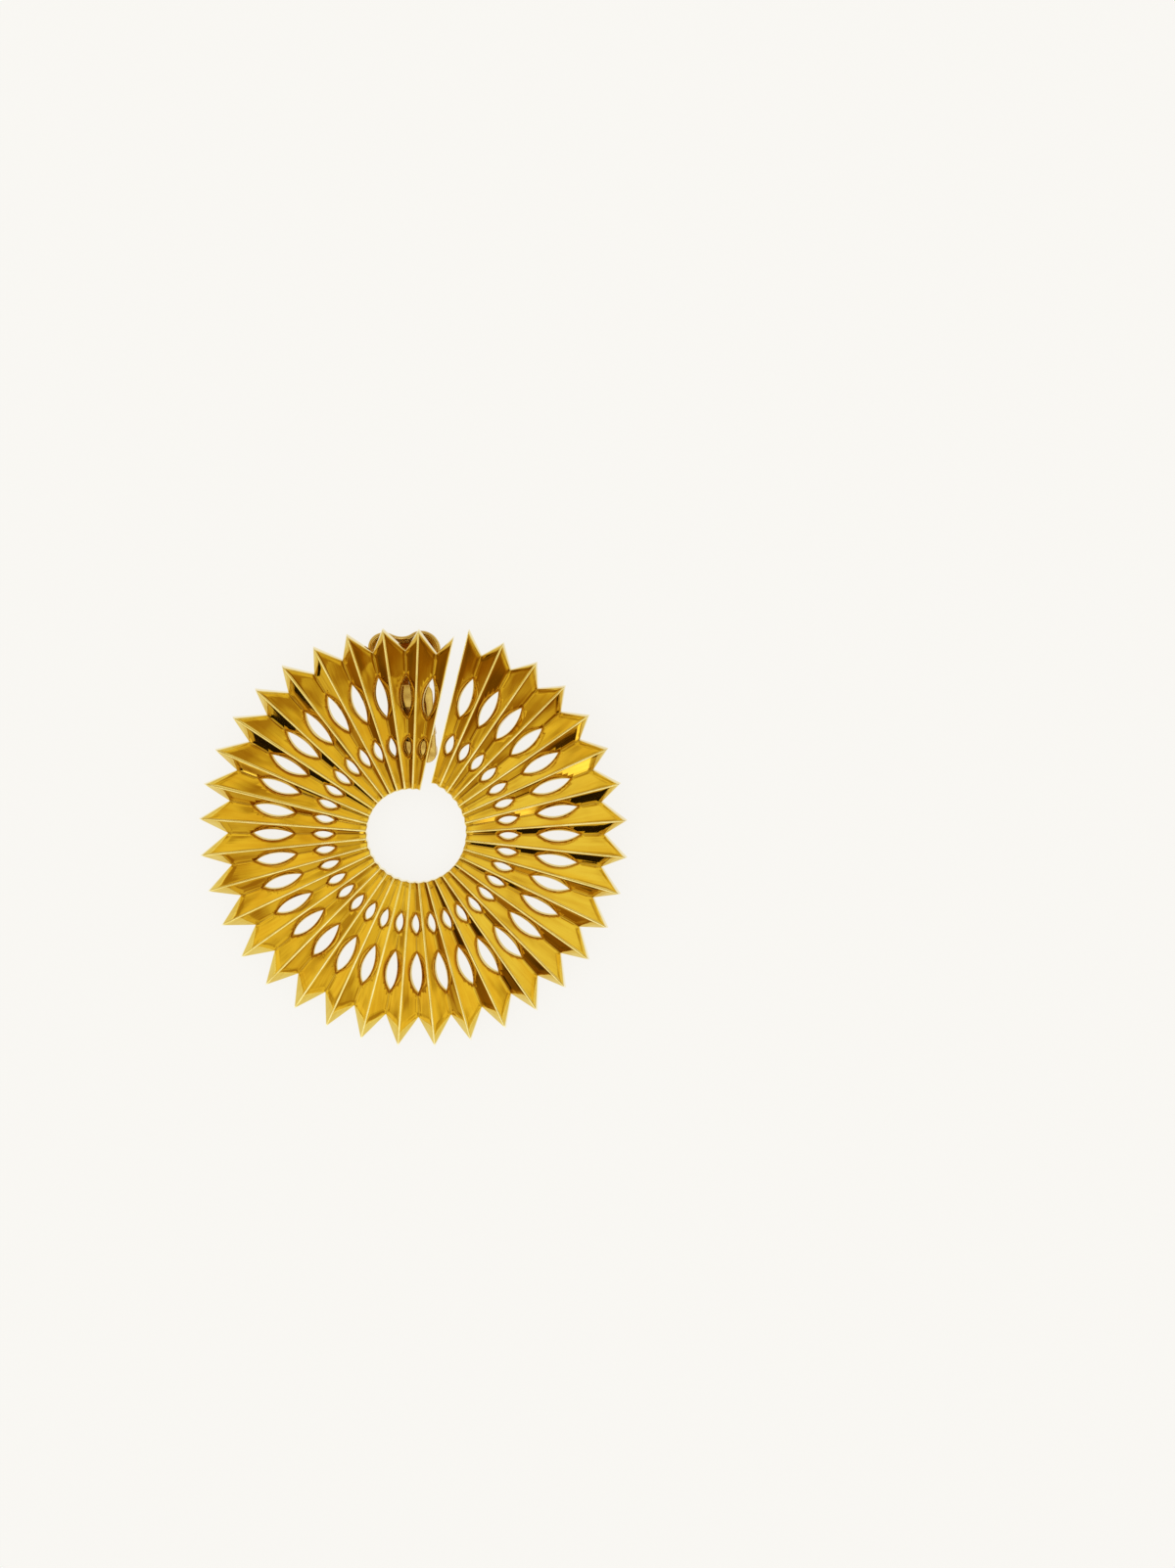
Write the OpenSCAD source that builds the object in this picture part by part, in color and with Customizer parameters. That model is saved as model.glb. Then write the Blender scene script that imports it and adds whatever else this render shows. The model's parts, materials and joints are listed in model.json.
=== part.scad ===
// Fan earring: a pleated, pierced sheet opened out to almost a full circle,
// with a two-lobed spring clip hinged on its back.
// The fan is drawn face up about its own axis, with the wearer's up along +Y,
// and the finished earring then lies on its back, on its lower rim and its clip.

/* [Fan] */
// Number of valleys between the folds
valley_count = 36; // [30:1:42]
// Radius to the tip of a fold
tip_r = 32.5; // [30:0.5:38]
// How much shorter a valley is than a fold
notch_depth = 3.8; // [2:0.1:5]
// Radius of the open centre
centre_r = 7.5; // [6.5:0.1:8.5]
// How far the open centre sits to the right of the fan's axis
centre_x = 0.2; // [-0.3:0.05:0.3]
// How far it sits below the axis
centre_drop = 0.1; // [-0.3:0.05:0.3]
// Height of a fold over its valleys, at the tip
fold_h = 3.7; // [2.5:0.1:4.5]
// Thickness of the sheet
sheet_t = 0.6; // [0.5:0.05:0.8]

/* [Split] */
// Width of the split at the tips
split_rim_w = 1.9; // [1.2:0.1:4]
// Width of the split at the open centre
split_centre_w = 1.35; // [0.8:0.05:2]
// How far the split leans off the top, clockwise, in degrees
split_lean = 14.2; // [8:0.2:20]
// How far the sheet winds outwards from one end to the other
winding_step = 1.6; // [0:0.1:2]
// How far the rim dips inwards beside the split
end_sag = 0.5; // [0:0.05:0.8]
// How far the folds have crept round, halfway along the sheet, in degrees
fold_creep = 1.1; // [0:0.1:1.5]
// How much they are bunched in the second half, in degrees
fold_bunching = 0.5; // [0:0.1:0.8]

/* [Piercing] */
// Plain metal between a valley's end and its long hole
rim_margin = 3.9; // [2.5:0.1:4.5]
// Length of the long holes
long_hole_l = 6.1; // [5:0.1:6.5]
// Width of the long holes
long_hole_w = 1.6; // [1:0.05:2]
// Plain metal between a long hole and the short one
hole_bridge = 3.2; // [2.5:0.1:4]
// Length of the short holes
short_hole_l = 2.9; // [2:0.1:3.4]
// Width of the short holes
short_hole_w = 1.0; // [0.6:0.05:1.1]

/* [Clip base] */
// Distance of the hinge in from the valleys' ends
hinge_in = 16.7; // [15.7:0.1:17.1]
// Distance of the hinge to the right of the fan's axis
hinge_x = 0.45; // [-1:0.05:1]
// How far the clip leans off the top, anticlockwise, in degrees
clip_lean = 4; // [0:0.5:8]
// Width of the base plate
plate_w = 6.1; // [5.8:0.1:7]
// Length of the base plate above the hinge
plate_l = 10.4; // [9:0.1:11]
// Length of the base plate below the hinge
plate_tail = 1.6; // [1.5:0.1:2.2]
// Thickness of the base plate behind the sheet
plate_t = 0.55; // [0.45:0.05:0.7]
// Radius of the base plate's corners
plate_corner_r = 1.5; // [0.8:0.1:1.8]
// Width of the window in the base plate
window_w = 3.0; // [2:0.1:3.2]
// Distance from the hinge to the window's lower edge
window_low = 1.8; // [1.5:0.1:2.5]
// Distance from the hinge to the window's upper edge
window_high = 7.0; // [5.5:0.1:7.5]
// Distance from the clip's midline to the outside of each hinge ear
ear_half_w = 2.65; // [2.5:0.05:2.8]
// Thickness of each hinge ear
ear_t = 0.8; // [0.6:0.05:1]
// Radius of each hinge ear round the pin
ear_r = 1.1; // [1:0.05:1.2]

/* [Hinge] */
// Radius of the hinge pin
pin_r = 0.5; // [0.4:0.02:0.6]
// Radius of the pin's riveted heads
pin_head_r = 0.8; // [0.7:0.05:0.95]
// Thickness of the pin's riveted heads
pin_head_t = 0.3; // [0.2:0.05:0.4]
// Radius of the paddle's barrel round the pin
barrel_r = 1.0; // [0.9:0.02:1.05]

/* [Paddle] */
// Thickness of the paddle at its raised rim
paddle_t = 1.1; // [0.8:0.05:1.3]
// Thickness of the sheet inside the rim
web_t = 0.5; // [0.4:0.05:0.7]
// Width of the raised rim
rim_w = 0.8; // [0.6:0.05:1.1]
// Half width of the paddle's stem
stem_half_w = 2.95; // [2.8:0.05:3.4]
// Distance from the hinge to where the stem starts to spread
stem_l = 9.2; // [8:0.1:10]
// Radius of each lobe
lobe_r = 2.65; // [2.4:0.05:3]
// Distance of each lobe's centre from the paddle's midline
lobe_x = 2.85; // [2.8:0.05:3.2]
// Distance of the lobes' centres above the hinge
lobe_y = 15.5; // [14.8:0.1:16]
// Depth of the dip between the lobes
dip_depth = 0.75; // [0.6:0.05:1.1]
// How far the closed paddle falls away from the fan, in degrees
paddle_fall = 6; // [6:0.25:9]
// How far the closed paddle's end is bent sideways
paddle_bend = 1.25; // [0:0.05:1.5]

/* [Hidden] */
$fn = 64;
gold = [0.86, 0.65, 0.18];

// Clearances, and the depth to which soldered metal sinks into its neighbour
pin_fit = 0.02;
barrel_fit = 0.05;
side_gap = 0.1;
barrel_gap = 0.12;
shoulder_gap = 0.25;
solder_depth = 0.25;
cut_over = 1;

// How much each end of a hole falls short of a knife point
hole_blunting = 0.12;

// The sheet: its lines alternate between folds (even) and valleys (odd)
line_count = 2 * valley_count;
notch_r = tip_r - notch_depth;
// The dip at each end of the rim spreads over this many lines
sag_lines = 6;
rim_gap_angle = 2 * asin(split_rim_w / 2 / tip_r);
centre_gap_angle = 2 * asin(split_centre_w / 2 / centre_r);
panel_angle = (360 - rim_gap_angle) / line_count;
panel_slope = atan(fold_h / tip_r / sin(panel_angle));
sheet_z = sheet_t / cos(panel_slope);

function is_fold(line) = line % 2 == 0;
function crept(line) =
    fold_creep * sin(180 * line / line_count) - fold_bunching * sin(360 * line / line_count);
function turned(line, gap_angle) =
    90 - split_lean + gap_angle / 2 + (360 - gap_angle) * line / line_count + crept(line);
function wound(radius, line) = radius + winding_step * (line / line_count - 0.5);
function sagged(line) = end_sag * max(0, 1 - min(line, line_count - line) / sag_lines);
function line_h(radius, line) = is_fold(line) ? fold_h * radius / tip_r : 0;
function polar(radius, angle, z) = [radius * cos(angle), radius * sin(angle), z];
function centre_end(line) =
    let (radius = wound(centre_r, line))
    polar(radius, turned(line, centre_gap_angle), line_h(radius, line)) + [centre_x, -centre_drop, 0];
function rim_end(line) =
    let (radius = wound(is_fold(line) ? tip_r : notch_r, line) - sagged(line))
    polar(radius, turned(line, rim_gap_angle), line_h(radius, line));
function lowered(points) = [for (p = points) p - [0, 0, sheet_z]];
function split_quad(a, b, c, d) = [[a, b, c], [a, c, d]];

// The clip: x runs across it, y up from the hinge, and z to the front
hinge_y = notch_r - hinge_in;
hinge_z = -(sheet_z + plate_t + barrel_gap + barrel_r);
barrel_half_w = ear_half_w - ear_t - side_gap;
shoulder_y = ear_r + shoulder_gap;
foot_y = shoulder_y + stem_half_w - barrel_half_w;

// The paddle's outline: two lobes, the dip between them and the spreading of the stem are arcs that touch
dip_r = (lobe_x * lobe_x + (lobe_r - dip_depth) * (lobe_r - dip_depth) - lobe_r * lobe_r) / (2 * dip_depth);
dip_y = lobe_y + lobe_r - dip_depth + dip_r;
spread_dx = stem_half_w - lobe_x;
spread_dy = lobe_y - stem_l;
spread_r = (spread_dx * spread_dx + spread_dy * spread_dy - lobe_r * lobe_r) / (2 * (lobe_r - spread_dx));
spread_x = stem_half_w + spread_r;
spread_turn = atan2(lobe_y - stem_l, lobe_x - spread_x);
dip_turn = atan2(dip_y - lobe_y, -lobe_x);
spread_steps = 8;
lobe_steps = 18;
dip_steps = 6;
// Degrees left out at each end of a lobe's arc, where it meets its neighbour
lobe_trim = 8;
function arc(centre, radius, from, to, steps) =
    [for (n = [0:steps]) let (a = from + (to - from) * n / steps) centre + radius * [cos(a), sin(a)]];
// One side of the paddle's outline, drawn in from its edge by the given amount, up to its midline
function paddle_side(inset) = concat(
    arc([spread_x, stem_l], spread_r + inset, 180, spread_turn, spread_steps),
    arc([lobe_x, lobe_y], lobe_r - inset, spread_turn - 180 + lobe_trim, dip_turn - lobe_trim, lobe_steps),
    arc([0, dip_y], dip_r + inset, dip_turn - 180, -90, dip_steps)
);
function bent(p) = p - [paddle_bend * max(0, p.y - foot_y) / (lobe_y - foot_y), 0];
function both_sides(side) =
    [for (p = concat(side, [for (n = [len(side) - 2:-1:0]) [-side[n].x, side[n].y]])) bent(p)];

// The rest: a plane through the lowest valley's end and the backs of both lobes
rim_lows = [for (line = [1:2:line_count]) rim_end(line).y];
low_line = 2 * search(min(rim_lows), rim_lows)[0] + 1;
heel = rim_end(low_line) - [0, 0, sheet_z];
function turned_about_x(p, angle) =
    [p.x, p.y * cos(angle) - p.z * sin(angle), p.y * sin(angle) + p.z * cos(angle)];
function turned_about_y(p, angle) =
    [p.x * cos(angle) + p.z * sin(angle), p.y, -p.x * sin(angle) + p.z * cos(angle)];
function turned_about_z(p, angle) =
    [p.x * cos(angle) - p.y * sin(angle), p.x * sin(angle) + p.y * cos(angle), p.z];
function in_clip(p) = turned_about_z(p, clip_lean) + [hinge_x, hinge_y, 0];
function in_paddle(p) = in_clip(turned_about_x(p, -paddle_fall) + [0, 0, hinge_z]);
function lobe_back(side) =
    let (p = bent([side * lobe_x, lobe_y + lobe_r]))
    in_paddle([p.x, p.y, -paddle_t / 2]);
lobe_back_left = lobe_back(-1);
lobe_back_right = lobe_back(1);
floor_normal = cross(lobe_back_right - heel, lobe_back_left - heel);
rest_x = atan2(floor_normal.y, floor_normal.z);
rest_y = -atan2(floor_normal.x, norm([0, floor_normal.y, floor_normal.z]));
function at_rest(p) = turned_about_y(turned_about_x(p, rest_x), rest_y);
resting_tips = [for (line = [0:2:line_count], drop = [0, sheet_z]) at_rest(rim_end(line) - [0, 0, drop])];
resting_x = [for (p = resting_tips) p.x];
resting_y = [for (p = resting_tips) p.y];
rest_shift = [
    -(max(resting_x) + min(resting_x)) / 2,
    -(max(resting_y) + min(resting_y)) / 2,
    -at_rest(heel).z
];

// Lays the earring on its back, with the middle of its box over the origin
module lay_down() {
    translate(rest_shift) rotate([rest_x, rest_y, 0]) children();
}

// Places the clip's own axes on the back of the fan
module on_clip() {
    translate([hinge_x, hinge_y, 0]) rotate([0, 0, clip_lean]) children();
}

// The folded sheet before it is pierced
module folded_sheet() {
    lines = [0:line_count];
    front_centre = [for (line = lines) centre_end(line)];
    front_rim = [for (line = lines) rim_end(line)];
    points = concat(front_centre, front_rim, lowered(front_centre), lowered(front_rim));
    fr = line_count + 1;
    bc = 2 * fr;
    br = 3 * fr;
    panels = [for (n = [0:line_count - 1]) each concat(
        split_quad(n, n + 1, fr + n + 1, fr + n),
        split_quad(bc + n + 1, bc + n, br + n, br + n + 1),
        split_quad(fr + n, fr + n + 1, br + n + 1, br + n),
        split_quad(n + 1, n, bc + n, bc + n + 1)
    )];
    first_end = split_quad(0, fr, br, bc);
    last_end = split_quad(fr + line_count, line_count, bc + line_count, br + line_count);
    polyhedron(points, concat(panels, first_end, last_end));
}

// One almond-shaped hole, cut straight through the sheet
module almond_cut(length, width) {
    arc_r = (length * length + width * width) / (4 * width);
    translate([0, 0, -sheet_z - cut_over]) linear_extrude(sheet_z + fold_h + cut_over) intersection() {
        translate([0, arc_r - width / 2]) circle(arc_r);
        translate([0, width / 2 - arc_r]) circle(arc_r);
        square([length - 2 * hole_blunting, width], center = true);
    }
}

// A ring of almond holes, one on each valley
module hole_ring(ring_r, length, width) {
    share = (ring_r - centre_r) / (notch_r - centre_r);
    for (line = [1:2:line_count - 1]) {
        from = centre_end(line);
        to = rim_end(line);
        translate(from + share * (to - from)) rotate([0, 0, atan2(to.y - from.y, to.x - from.x)])
            almond_cut(length, width);
    }
}

// The base plate's outline, rounded at its four corners
module plate_outline() {
    inner_w = plate_w - 2 * plate_corner_r;
    full_l = plate_l + plate_tail;
    translate([-inner_w / 2, -plate_tail]) square([inner_w, full_l]);
    translate([-plate_w / 2, plate_corner_r - plate_tail]) square([plate_w, full_l - 2 * plate_corner_r]);
    for (side = [-1, 1], end_y = [plate_corner_r - plate_tail, plate_l - plate_corner_r])
        translate([side * inner_w / 2, end_y]) circle(plate_corner_r);
}

// The plate and the two ears that are soldered to the fan's back
module clip_base() {
    back_z = -sheet_z - plate_t;
    translate([0, 0, back_z]) linear_extrude(plate_t + solder_depth) difference() {
        plate_outline();
        translate([-window_w / 2, window_low]) square([window_w, window_high - window_low]);
    }
    difference() {
        for (side = [-1, 1]) {
            ear_from = side > 0 ? ear_half_w - ear_t : -ear_half_w;
            translate([ear_from, -ear_r, hinge_z]) cube([ear_t, 2 * ear_r, back_z + solder_depth - hinge_z]);
            translate([ear_from, 0, hinge_z]) rotate([0, 90, 0]) cylinder(h = ear_t, r = ear_r);
        }
        translate([-ear_half_w - cut_over, 0, hinge_z]) rotate([0, 90, 0])
            cylinder(h = 2 * (ear_half_w + cut_over), r = pin_r + pin_fit);
    }
}

// The pleated fan, pierced along its valleys, with the clip's base soldered on
module pleated_fan() {
    long_ring_r = notch_r - rim_margin - long_hole_l / 2;
    short_ring_r = long_ring_r - long_hole_l / 2 - hole_bridge - short_hole_l / 2;
    color(gold) {
        difference() {
            folded_sheet();
            hole_ring(long_ring_r, long_hole_l, long_hole_w);
            hole_ring(short_ring_r, short_hole_l, short_hole_w);
        }
        on_clip() clip_base();
    }
}

// The pin, riveted over outside both ears
module hinge_pin() {
    head_from = ear_half_w + pin_fit;
    full_l = 2 * (head_from + pin_head_t);
    color(gold) on_clip() translate([0, 0, hinge_z]) rotate([0, 90, 0]) {
        cylinder(h = full_l, r = pin_r, center = true);
        for (side = [-1, 1])
            translate([0, 0, side * (head_from + pin_head_t / 2)])
                cylinder(h = pin_head_t, r = pin_head_r, center = true);
    }
}

// The two-lobed paddle that closes behind the ear lobe: a sheet inside a raised rim
module clip_paddle() {
    edge = concat([[barrel_half_w, 0], [barrel_half_w, shoulder_y], [stem_half_w, foot_y]], paddle_side(0));
    recess = concat([[stem_half_w - rim_w, foot_y]], paddle_side(rim_w));
    color(gold) on_clip() translate([0, 0, hinge_z]) rotate([-paddle_fall, 0, 0]) difference() {
        union() {
            translate([0, 0, -paddle_t / 2]) difference() {
                linear_extrude(paddle_t) polygon(both_sides(edge));
                translate([0, 0, web_t]) linear_extrude(paddle_t) polygon(both_sides(recess));
            }
            translate([-barrel_half_w, 0, 0]) rotate([0, 90, 0]) cylinder(h = 2 * barrel_half_w, r = barrel_r);
        }
        translate([-stem_half_w, 0, 0]) rotate([0, 90, 0])
            cylinder(h = 2 * stem_half_w, r = pin_r + barrel_fit);
    }
}

lay_down() pleated_fan();
lay_down() hinge_pin();
lay_down() clip_paddle();
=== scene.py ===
import json
from math import asin, atan2, cos, pi, radians, sin

import bmesh
import bpy
from mathutils import Matrix, Vector


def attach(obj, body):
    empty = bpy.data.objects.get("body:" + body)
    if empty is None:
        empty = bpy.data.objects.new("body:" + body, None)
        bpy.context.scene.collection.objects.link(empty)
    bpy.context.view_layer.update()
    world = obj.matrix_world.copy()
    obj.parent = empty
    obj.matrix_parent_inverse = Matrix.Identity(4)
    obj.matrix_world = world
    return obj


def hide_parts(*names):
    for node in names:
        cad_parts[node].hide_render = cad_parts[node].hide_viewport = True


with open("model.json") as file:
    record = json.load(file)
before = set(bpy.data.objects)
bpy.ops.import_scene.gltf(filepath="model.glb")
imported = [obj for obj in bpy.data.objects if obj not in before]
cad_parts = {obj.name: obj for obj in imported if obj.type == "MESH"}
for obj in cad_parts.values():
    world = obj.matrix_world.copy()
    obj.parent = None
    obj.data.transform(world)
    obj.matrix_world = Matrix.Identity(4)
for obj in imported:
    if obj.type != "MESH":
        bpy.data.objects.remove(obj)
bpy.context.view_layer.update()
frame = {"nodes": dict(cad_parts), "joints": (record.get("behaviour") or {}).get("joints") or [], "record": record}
record = frame["record"]
mm = 0.001
print("frame loaded:", sorted(frame["nodes"]))


# Where the fan's own axes lie: its face is square to the clip's seat, and the clip's hinge fixes the rest

place = {
    "hinge": (0.45 * mm, 12.0 * mm, -2.66288 * mm),  # the middle of its pin, in the fan's axes
    "clipLean": radians(4),
    "paddleFall": radians(6),
}
seat = next(mount for mount in record["mounts"] if mount["name"] == "ear_lobe_seat")
hinge = next(joint for joint in frame["joints"] if joint["name"] == "clip_hinge")
faceNormal = -Vector(seat["axis"]).normalized()
restTurn = (Matrix.Rotation(atan2(faceNormal.x, faceNormal.z), 4, "Y")
            @ Matrix.Rotation(asin(-faceNormal.y), 4, "X"))
hingeInFan = Vector(place["hinge"])
fanPlace = Matrix.Translation(Vector(hinge["pos_m"]) - restTurn @ hingeInFan) @ restTurn
pinPlace = (fanPlace @ Matrix.Translation(hingeInFan) @ Matrix.Rotation(place["clipLean"], 4, "Z")
            @ Matrix.Scale(mm, 4))  # from millimetres
paddlePlace = pinPlace @ Matrix.Rotation(-place["paddleFall"], 4, "X")


# Camera

view = {
    "fromAxis": (0.144, 0.191, 0.971),  # from the fan's middle to the camera, in the fan's axes
    "distance": 0.6,
    "frameWidth": 1200,  # the photograph's pixels
    "frameHeight": 1602,
    "pixelsPerMetre": 6750,
    "fanMiddle": (421.3, 850.3),  # where the fan's axis meets the frame
    "sensorWidth": 36,  # millimetres
    "clipStart": 0.01,
}


def makeCamera():
    toCamera = (fanPlace.to_3x3() @ Vector(view["fromAxis"])).normalized()
    fanUp = fanPlace.to_3x3() @ Vector((0, 1, 0))
    up = (fanUp - fanUp.dot(toCamera) * toCamera).normalized()
    right = up.cross(toCamera)
    offRight = (view["frameWidth"] / 2 - view["fanMiddle"][0]) / view["pixelsPerMetre"]
    offUp = (view["fanMiddle"][1] - view["frameHeight"] / 2) / view["pixelsPerMetre"]
    middle = fanPlace.translation
    eye = middle + toCamera * view["distance"]
    aim = middle + right * offRight + up * offUp
    back = (eye - aim).normalized()
    side = up.cross(back).normalized()
    data = bpy.data.cameras.new("camera")
    data.sensor_fit = "HORIZONTAL"
    data.sensor_width = view["sensorWidth"]
    data.lens = view["sensorWidth"] * (eye - aim).length * view["pixelsPerMetre"] / view["frameWidth"]
    data.clip_start = view["clipStart"]
    camera = bpy.data.objects.new("camera", data)
    turn = Matrix((side, back.cross(side), back)).transposed().to_4x4()
    camera.matrix_world = Matrix.Translation(eye) @ turn
    bpy.context.scene.collection.objects.link(camera)
    bpy.context.scene.camera = camera


makeCamera()
print("camera placed")


# Sums inside a node tree, written as sums

class Flow:
    def __init__(self, tree, socket):
        self.tree, self.socket = tree, socket

    @staticmethod
    def number(tree, value):
        node = tree.nodes.new("ShaderNodeValue")
        node.outputs[0].default_value = value
        return Flow(tree, node.outputs[0])

    def join(self, operation, *others, clamp=False):
        node = self.tree.nodes.new("ShaderNodeMath")
        node.operation = operation
        node.use_clamp = clamp
        for slot, value in zip(node.inputs, (self, *others)):
            if isinstance(value, Flow):
                self.tree.links.new(value.socket, slot)
            else:
                slot.default_value = value
        return Flow(self.tree, node.outputs[0])

    def __add__(self, other):
        return self.join("ADD", other)

    def __radd__(self, other):
        return self.join("ADD", other)

    def __sub__(self, other):
        return self.join("SUBTRACT", other)

    def __rsub__(self, other):
        return Flow.number(self.tree, other) - self

    def __mul__(self, other):
        return self.join("MULTIPLY", other)

    def __truediv__(self, other):
        return self.join("DIVIDE", other)

    def __neg__(self):
        return self.join("MULTIPLY", -1)

    def towards(self, other, share):
        return self + (other - self) * share

    def within(self):
        return self.join("ADD", 0, clamp=True)


def addNode(tree, kind, links=None, **settings):
    node = tree.nodes.new(kind)
    for key, value in settings.items():
        setattr(node, key, value)
    for key, value in (links or {}).items():
        slot = node.inputs[key]
        if isinstance(value, Flow):
            tree.links.new(value.socket, slot)
        elif isinstance(value, bpy.types.NodeSocket):
            tree.links.new(value, slot)
        else:
            slot.default_value = value
    return node


def newTree(name, sizes):
    tree = bpy.data.node_groups.new(name, "GeometryNodeTree")
    tree.interface.new_socket("Geometry", in_out="OUTPUT", socket_type="NodeSocketGeometry")
    for key, value in sizes.items():
        kind = "NodeSocketInt" if isinstance(value, int) else "NodeSocketFloat"
        tree.interface.new_socket(key, in_out="INPUT", socket_type=kind)
    source = tree.nodes.new("NodeGroupInput")
    sink = tree.nodes.new("NodeGroupOutput")
    flows = {key: Flow(tree, source.outputs[key]) for key in sizes}
    return tree, flows, sink


def grownMesh(name, tree, sizes):
    holder = bpy.data.objects.new(name + "Holder", bpy.data.meshes.new(name + "Holder"))
    bpy.context.scene.collection.objects.link(holder)
    modifier = holder.modifiers.new("grow", "NODES")
    modifier.node_group = tree
    sockets = {socket.name: socket.identifier
               for socket in tree.interface.items_tree if socket.in_out == "INPUT"}
    for key, value in sizes.items():
        modifier[sockets[key]] = value
    bpy.context.view_layer.update()
    ready = holder.evaluated_get(bpy.context.evaluated_depsgraph_get())
    mesh = bpy.data.meshes.new_from_object(ready)
    holder.modifiers.remove(modifier)
    bpy.data.objects.remove(holder)
    mesh.name = name
    return mesh


def mixedColour(tree, share, first, second):
    node = addNode(tree, "ShaderNodeMix", data_type="RGBA")
    slots = [slot for slot in node.inputs if slot.type == "RGBA"]
    tree.links.new(share.socket, node.inputs[0])
    for slot, value in zip(slots, (first, second)):
        if isinstance(value, tuple):
            slot.default_value = (*value, 1)
        else:
            tree.links.new(value, slot)
    return next(slot for slot in node.outputs if slot.type == "RGBA")


def noiseFlow(tree, vector, scale, detail=3.0, roughness=0.5):
    noise = addNode(tree, "ShaderNodeTexNoise", {
        "Vector": vector, "Scale": scale, "Detail": detail, "Roughness": roughness})
    return Flow(tree, noise.outputs[0])


def newMaterial(name):
    material = bpy.data.materials.new(name)
    material.use_nodes = True
    tree = material.node_tree
    tree.nodes.clear()
    return material, tree, tree.nodes.new("ShaderNodeOutputMaterial")


# Floor and light

stage = {
    "floorSize": 6,
    "floorColour": (0.95, 0.935, 0.9),
    "floorGlow": 0.9,
    "skyTop": (1.0, 0.995, 0.97),
    "skyLow": (0.93, 0.925, 0.905),
    "skyStrength": 1.0,
}
tent = {
    "height": 80,  # millimetres over the fan's face, as are all the lengths below
    "size": 1200,
    "fall": 0.0022,  # how much darker it is for each millimetre further up
    "fallStart": 40,  # how far below the middle that begins
    "fallLength": 160,
    "cloudScale": 0.06,  # folds and shadows in the cloth
    "cloudDetail": 3.0,
    "cloudRoughness": 0.6,
    "cloudStart": 0.47,
    "cloudEdge": 7,
    "cloudDepth": 0.44,
    "flagPower": 3,  # how square the corners of the patches are
    "colours": ((0, (0.012, 0.011, 0.008)), (0.4, (0.37, 0.212, 0.052)),
                (0.75, (0.77, 0.76, 0.61)), (1, (1.08, 1.12, 1.08))),
    "lemon": (0.95, 1.13, 1.9),  # bluish, which the gold mirrors as a lemon yellow
    "glow": 1.16,
}
flagMiddle = (15, 10)
flags = {  # patches of the tent that the metal mirrors: how far from the point above, and in which direction
    "blackArc": {"reach": 64.5, "halfReach": 8.5, "turn": 83, "halfTurn": 30, "soft": 0.06, "dark": 0.99},
    "blackSpot": {"reach": 61, "halfReach": 5, "turn": 129, "halfTurn": 5, "soft": 0.2, "dark": 0.9},
    "window": {"reach": 64, "halfReach": 10, "turn": 119, "halfTurn": 5, "soft": 0.2,
               "shine": 0.95, "lemon": 1},
    "brightSide": {"reach": 45, "halfReach": 9, "turn": -98, "halfTurn": 27, "soft": 0.35,
                   "shine": 0.14, "lemon": 1},
    "lowBlack": {"reach": 70, "halfReach": 4.5, "turn": -3, "halfTurn": 16, "soft": 0.15, "dark": 0.85},
    "lowHaze": {"reach": 80, "halfReach": 10, "turn": -152, "halfTurn": 17, "soft": 0.4, "dark": 0.1},
    "warmHaze": {"reach": 65, "halfReach": 14, "turn": 161, "halfTurn": 13, "soft": 0.3, "dark": 0.24},
    "rightSide": {"reach": 67, "halfReach": 30, "turn": 3, "halfTurn": 38, "soft": 0.3, "dark": 0.66},
    "leftFold": {"reach": 45, "halfReach": 11, "turn": 159, "halfTurn": 28, "soft": 0.4, "dark": 0.55},
}


def squareSheet(name, size):
    half = size / 2
    corners = [(-half, -half, 0), (half, -half, 0), (half, half, 0), (-half, half, 0)]
    mesh = bpy.data.meshes.new(name)
    mesh.from_pydata(corners, [], [(0, 1, 2, 3)])
    sheet = bpy.data.objects.new(name, mesh)
    bpy.context.scene.collection.objects.link(sheet)
    return sheet


def makeFloor():
    floor = squareSheet("floor", stage["floorSize"])
    material, tree, output = newMaterial("floorPaper")
    paper = addNode(tree, "ShaderNodeBsdfDiffuse", {"Color": (*stage["floorColour"], 1)})
    glow = addNode(tree, "ShaderNodeEmission", {"Color": (*stage["floorColour"], 1)})
    mixed = addNode(tree, "ShaderNodeMixShader", {
        "Fac": stage["floorGlow"], 1: paper.outputs[0], 2: glow.outputs[0]})
    tree.links.new(mixed.outputs[0], output.inputs["Surface"])
    floor.data.materials.append(material)


def makeSky():
    world = bpy.data.worlds.new("softRoom")
    bpy.context.scene.world = world
    world.use_nodes = True
    tree = world.node_tree
    tree.nodes.clear()
    where = addNode(tree, "ShaderNodeTexCoord").outputs["Generated"]
    at = addNode(tree, "ShaderNodeSeparateXYZ", {0: where})
    ramp = addNode(tree, "ShaderNodeValToRGB", {0: at.outputs["Z"]})
    for step, colour in zip(ramp.color_ramp.elements, (stage["skyLow"], stage["skyTop"])):
        step.color = (*colour, 1)
    background = addNode(tree, "ShaderNodeBackground", {
        "Color": ramp.outputs[0], "Strength": stage["skyStrength"]})
    addNode(tree, "ShaderNodeOutputWorld", {"Surface": background.outputs[0]})


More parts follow.
